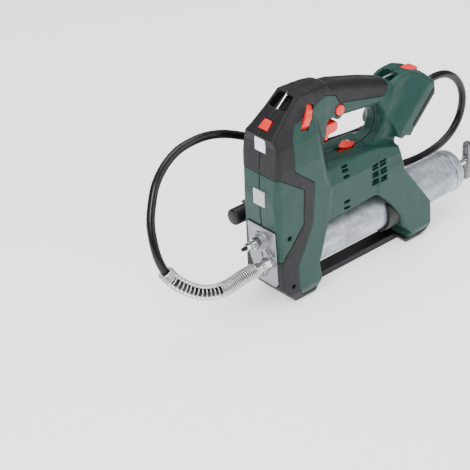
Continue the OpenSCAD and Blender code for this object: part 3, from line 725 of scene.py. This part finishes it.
def f_union(g):
    x, y, z = g.x, g.y + 18, g.z - 69
    r = np.sqrt(y * y + z * z)
    def cyl(x0, x1, rad, e=0.4): return rint(r - rad, np.maximum(x0 - x, x - x1), e)
    def nut(x0, x1, af): return np.maximum(rint(hexd(y, z, af), np.maximum(x0 - x, x - x1), 0.3), r + 0.45 * abs(x - (x0 + x1) / 2) - af * 0.5 - 0.075 * af - 0.22 * (x1 - x0))
    d = np.minimum(cyl(-37, -30, 4, 0.1), nut(-46.2, -36.9, 15))
    d = np.minimum(d, cyl(-49, -46, 6.8))
    d = np.minimum(d, cyl(-52, -46, 6.0))
    return cut(d, r - 2)


field_piece("outlet_union_nut", (-53, -28, 59), (-29, -8, 79), f_union, "housing", M_zinc, "zinc_steel", "outlet_union", h=0.32)
fer = lathe("front_ferrule", [(0, 0), (0, 7.0), (0.6, 7.5), (2.6, 7.5), (3.0, 7.0), (3.6, 7.0), (4.0, 7.5), (7.4, 7.5), (8, 6.9), (8, 0)], (1, 0, 0), (-60, -18, 69), 56)
finishing(fer, "housing", M_zinc, "zinc_steel", "hose_ferrule_front")

# ------------------------------------------------------------------ barrel and plunger
def arc(cx, cr, r, a0, a1, n=8):
    return [(cx + r * math.cos(math.radians(a0 + (a1 - a0) * k / n)), cr + r * math.sin(math.radians(a0 + (a1 - a0) * k / n))) for k in range(n + 1)]


tube = lathe("barrel_tube_shell", [(28, 27), (28, 28.1), (28.4, 28.5), (46, 28.5)] + [(46 + 10 * k, 28.5) for k in range(1, 23)] + [(272.4, 28.5), (272.8, 28.1), (273.8, 28.1), (274.2, 28.5), (284.4, 28.5), (285, 28.05), (286.6, 28.05), (287.2, 28.5), (297.2, 28.5), (297.7, 28.0), (297.9, 27.1), (298.9, 27.05), (298.9, 27), (28, 27)], (1, 0, 0), (0, 0, 57), 112)
finishing(tube, "barrel", M_galv, "galvanised_steel", "barrel_tube")
cap = lathe("barrel_end_cap", [(299.0, 24), (299.0, 27.1), (299.2, 28.3), (299.8, 28.9), (307, 28.9)] + [(308.5, 28.7), (311, 27.7), (313.2, 26.0), (315.2, 23.0), (316.6, 19.0), (317.6, 14), (318.2, 9.0), (318.6, 8.0), (319, 6.8), (319, 4.05), (312, 4.05), (312, 18), (308, 24), (299.1, 24)], (1, 0, 0), (0, 0, 57), 112)
finishing(cap, "barrel", M_galv, "galvanised_steel", "barrel_cap")


def f_tee(g):
    x, y, z = g.x, g.y, g.z - 57
    zc = np.clip(z, -23, 23)
    r = np.sqrt(y * y + (z - zc) ** 2)
    d = rint(r - 6, np.maximum(343 - x, x - 351), 2.2)
    ch = np.sqrt(y * y + (z - np.clip(z, -22, 22)) ** 2)
    d = cut(d, rint(ch - 3.0, 348 - x, 1.0), 0.6)
    front = np.maximum(rint(ch - 2.6, x - 345.0, 0.8), 8.5 - abs(z))
    d = cut(d, front, 0.6)
    return runi(d, rint(np.sqrt(y * y + z * z) - 7.0, np.maximum(343.2 - x, x - 350.5), 2.0) + 0 * x, 1.2)


field_piece("t_handle_grip", (341, -8, 26), (353, 8, 88), f_tee, "plunger", M_tee, "zinc_steel", "t_handle")

# ------------------------------------------------------------------ far end of the hose
rf = lathe("rear_ferrule", [(0, 0), (0, 7.0), (0.5, 7.5), (5, 7.5), (5.6, 7.0), (6.6, 7.0), (7.2, 7.5), (17.5, 7.5), (18, 7), (18, 0)], (1, 0, 0), (44, 50, 105), 56)
finishing(rf, "housing", M_zinc, "zinc_steel", "hose_ferrule_rear")
cc = lathe("coupler_sleeve", [(0, 3), (0, 8.0), (22, 8.0), (22.4, 8.5), (30, 8.5), (30.6, 7.9), (31.6, 7.9), (32.2, 8.5), (40, 8.5), (43, 7.2), (46, 7.0), (46, 3), (0, 3)], (1, 0, 0), (-8, 50, 105), 64)
finishing(cc, "housing", M_zinc, "zinc_steel", "grease_coupler")
kc = lathe("coupler_cap_cover", [(0, 0), (0, 8.6), (0.6, 9.8), (1.8, 10.7), (3.2, 11.0), (30, 11.0), (46.4, 11.0), (47, 10.4), (47, 8.1), (25.5, 8.1), (25.5, 0)], (1, 0, 0), (-34, 50, 105), 80)
finishing(kc, "housing", M_bplast, "black_plastic", "coupler_cap")

# ------------------------------------------------------------------ carried-over nodes
def dress(node, mat, bev=0.0, seg=3, ang=35):
    o = N[node]
    o.data.materials.clear(); o.data.materials.append(mat)
    for p in o.data.polygons:
        p.material_index = 0
    if bev:
        m = o.modifiers.new("edge", "BEVEL"); m.width = bev / 1000; m.segments = seg
        m.limit_method = "ANGLE"; m.angle_limit = math.radians(ang); m.harden_normals = False
    return o


dress("base_bar", M_bplast, 1.6)
dress("housing_screws", M_zinc)
dress("front_strap_bar", M_bright)
dress("rear_strap_bar", M_bright)
dress("name_plate", M_label, 0.5)
dress("led_lens", M_lens, 0.8)
dress("led_board", M_pcb)
dress("dial_shaft", M_bplast)
dress("trigger_switch", M_bplast)
dress("battery_contact_block", M_bplast, 0.4)
dress("battery_terminals", M_brass)
dress("pump_piston", M_zinc)
dress("output_crank", M_zinc)
dress("gearbox_housing", M_plate)
dress("motor_can", M_zinc)
dress("motor_rotor", M_zinc)
dress("control_board", M_pcb)
dress("barrel_saddle", M_bplast, 0.8)
dress("follower_cup", M_bplast)
dress("follower_spring", M_zinc)
dress("plunger_rod", M_bright)
dress("hose_holder", M_bplast, 0.5)

# ------------------------------------------------------------------ stage
def stage():
    me = bpy.data.meshes.new("floor")
    s = 6
    me.from_pydata([(-s, -s, 0), (s, -s, 0), (s, s, 0), (-s, s, 0)], [], [(0, 1, 2, 3)])
    fl = bpy.data.objects.new("floor", me); bpy.context.scene.collection.objects.link(fl)
    m, nt, b = new_mat("floor_white")
    b.inputs["Base Color"].default_value = (0.93, 0.93, 0.93, 1); b.inputs["Roughness"].default_value = 0.9
    b.inputs["Specular IOR Level"].default_value = 0.1
    b.inputs["Emission Color"].default_value = (1, 1, 1, 1); b.inputs["Emission Strength"].default_value = 0.85
    me.materials.append(m)
    w = bpy.data.worlds.new("studio"); bpy.context.scene.world = w; w.use_nodes = True
    wt = w.node_tree; bg = wt.nodes["Background"]; bg.inputs[1].default_value = 1.0
    tc = wt.nodes.new("ShaderNodeTexCoord"); sp = wt.nodes.new("ShaderNodeSeparateXYZ")
    wt.links.new(tc.outputs["Generated"], sp.inputs[0])
    wr = ramp(wt, sp.outputs["Z"], [(0.0, (0.62, 0.62, 0.63)), (0.06, (0.34, 0.34, 0.345)), (0.5, (0.42, 0.42, 0.43)), (1.0, (0.9, 0.9, 0.9))])
    wt.links.new(wr.outputs["Color"], bg.inputs[0])
    def area(name, loc, to, size, power):
        l = bpy.data.lights.new(name, "AREA"); l.shape = "RECTANGLE"; l.size = size[0]; l.size_y = size[1]; l.energy = power
        o = bpy.data.objects.new(name, l); bpy.context.scene.collection.objects.link(o)
        o.location = loc
        o.rotation_mode = "QUATERNION"
        o.rotation_quaternion = (Vector(to) - Vector(loc)).to_track_quat("-Z", "Y")
    area("key", (-1.4, -0.7, 1.5), (0, 0, 0.12), (1.0, 1.0), 34)
    area("side", (0.7, -1.7, 1.0), (0, 0, 0.12), (1.0, 1.0), 13)
    area("top", (0.1, 0.3, 1.9), (0, 0, 0.12), (1.8, 1.4), 30)


stage()
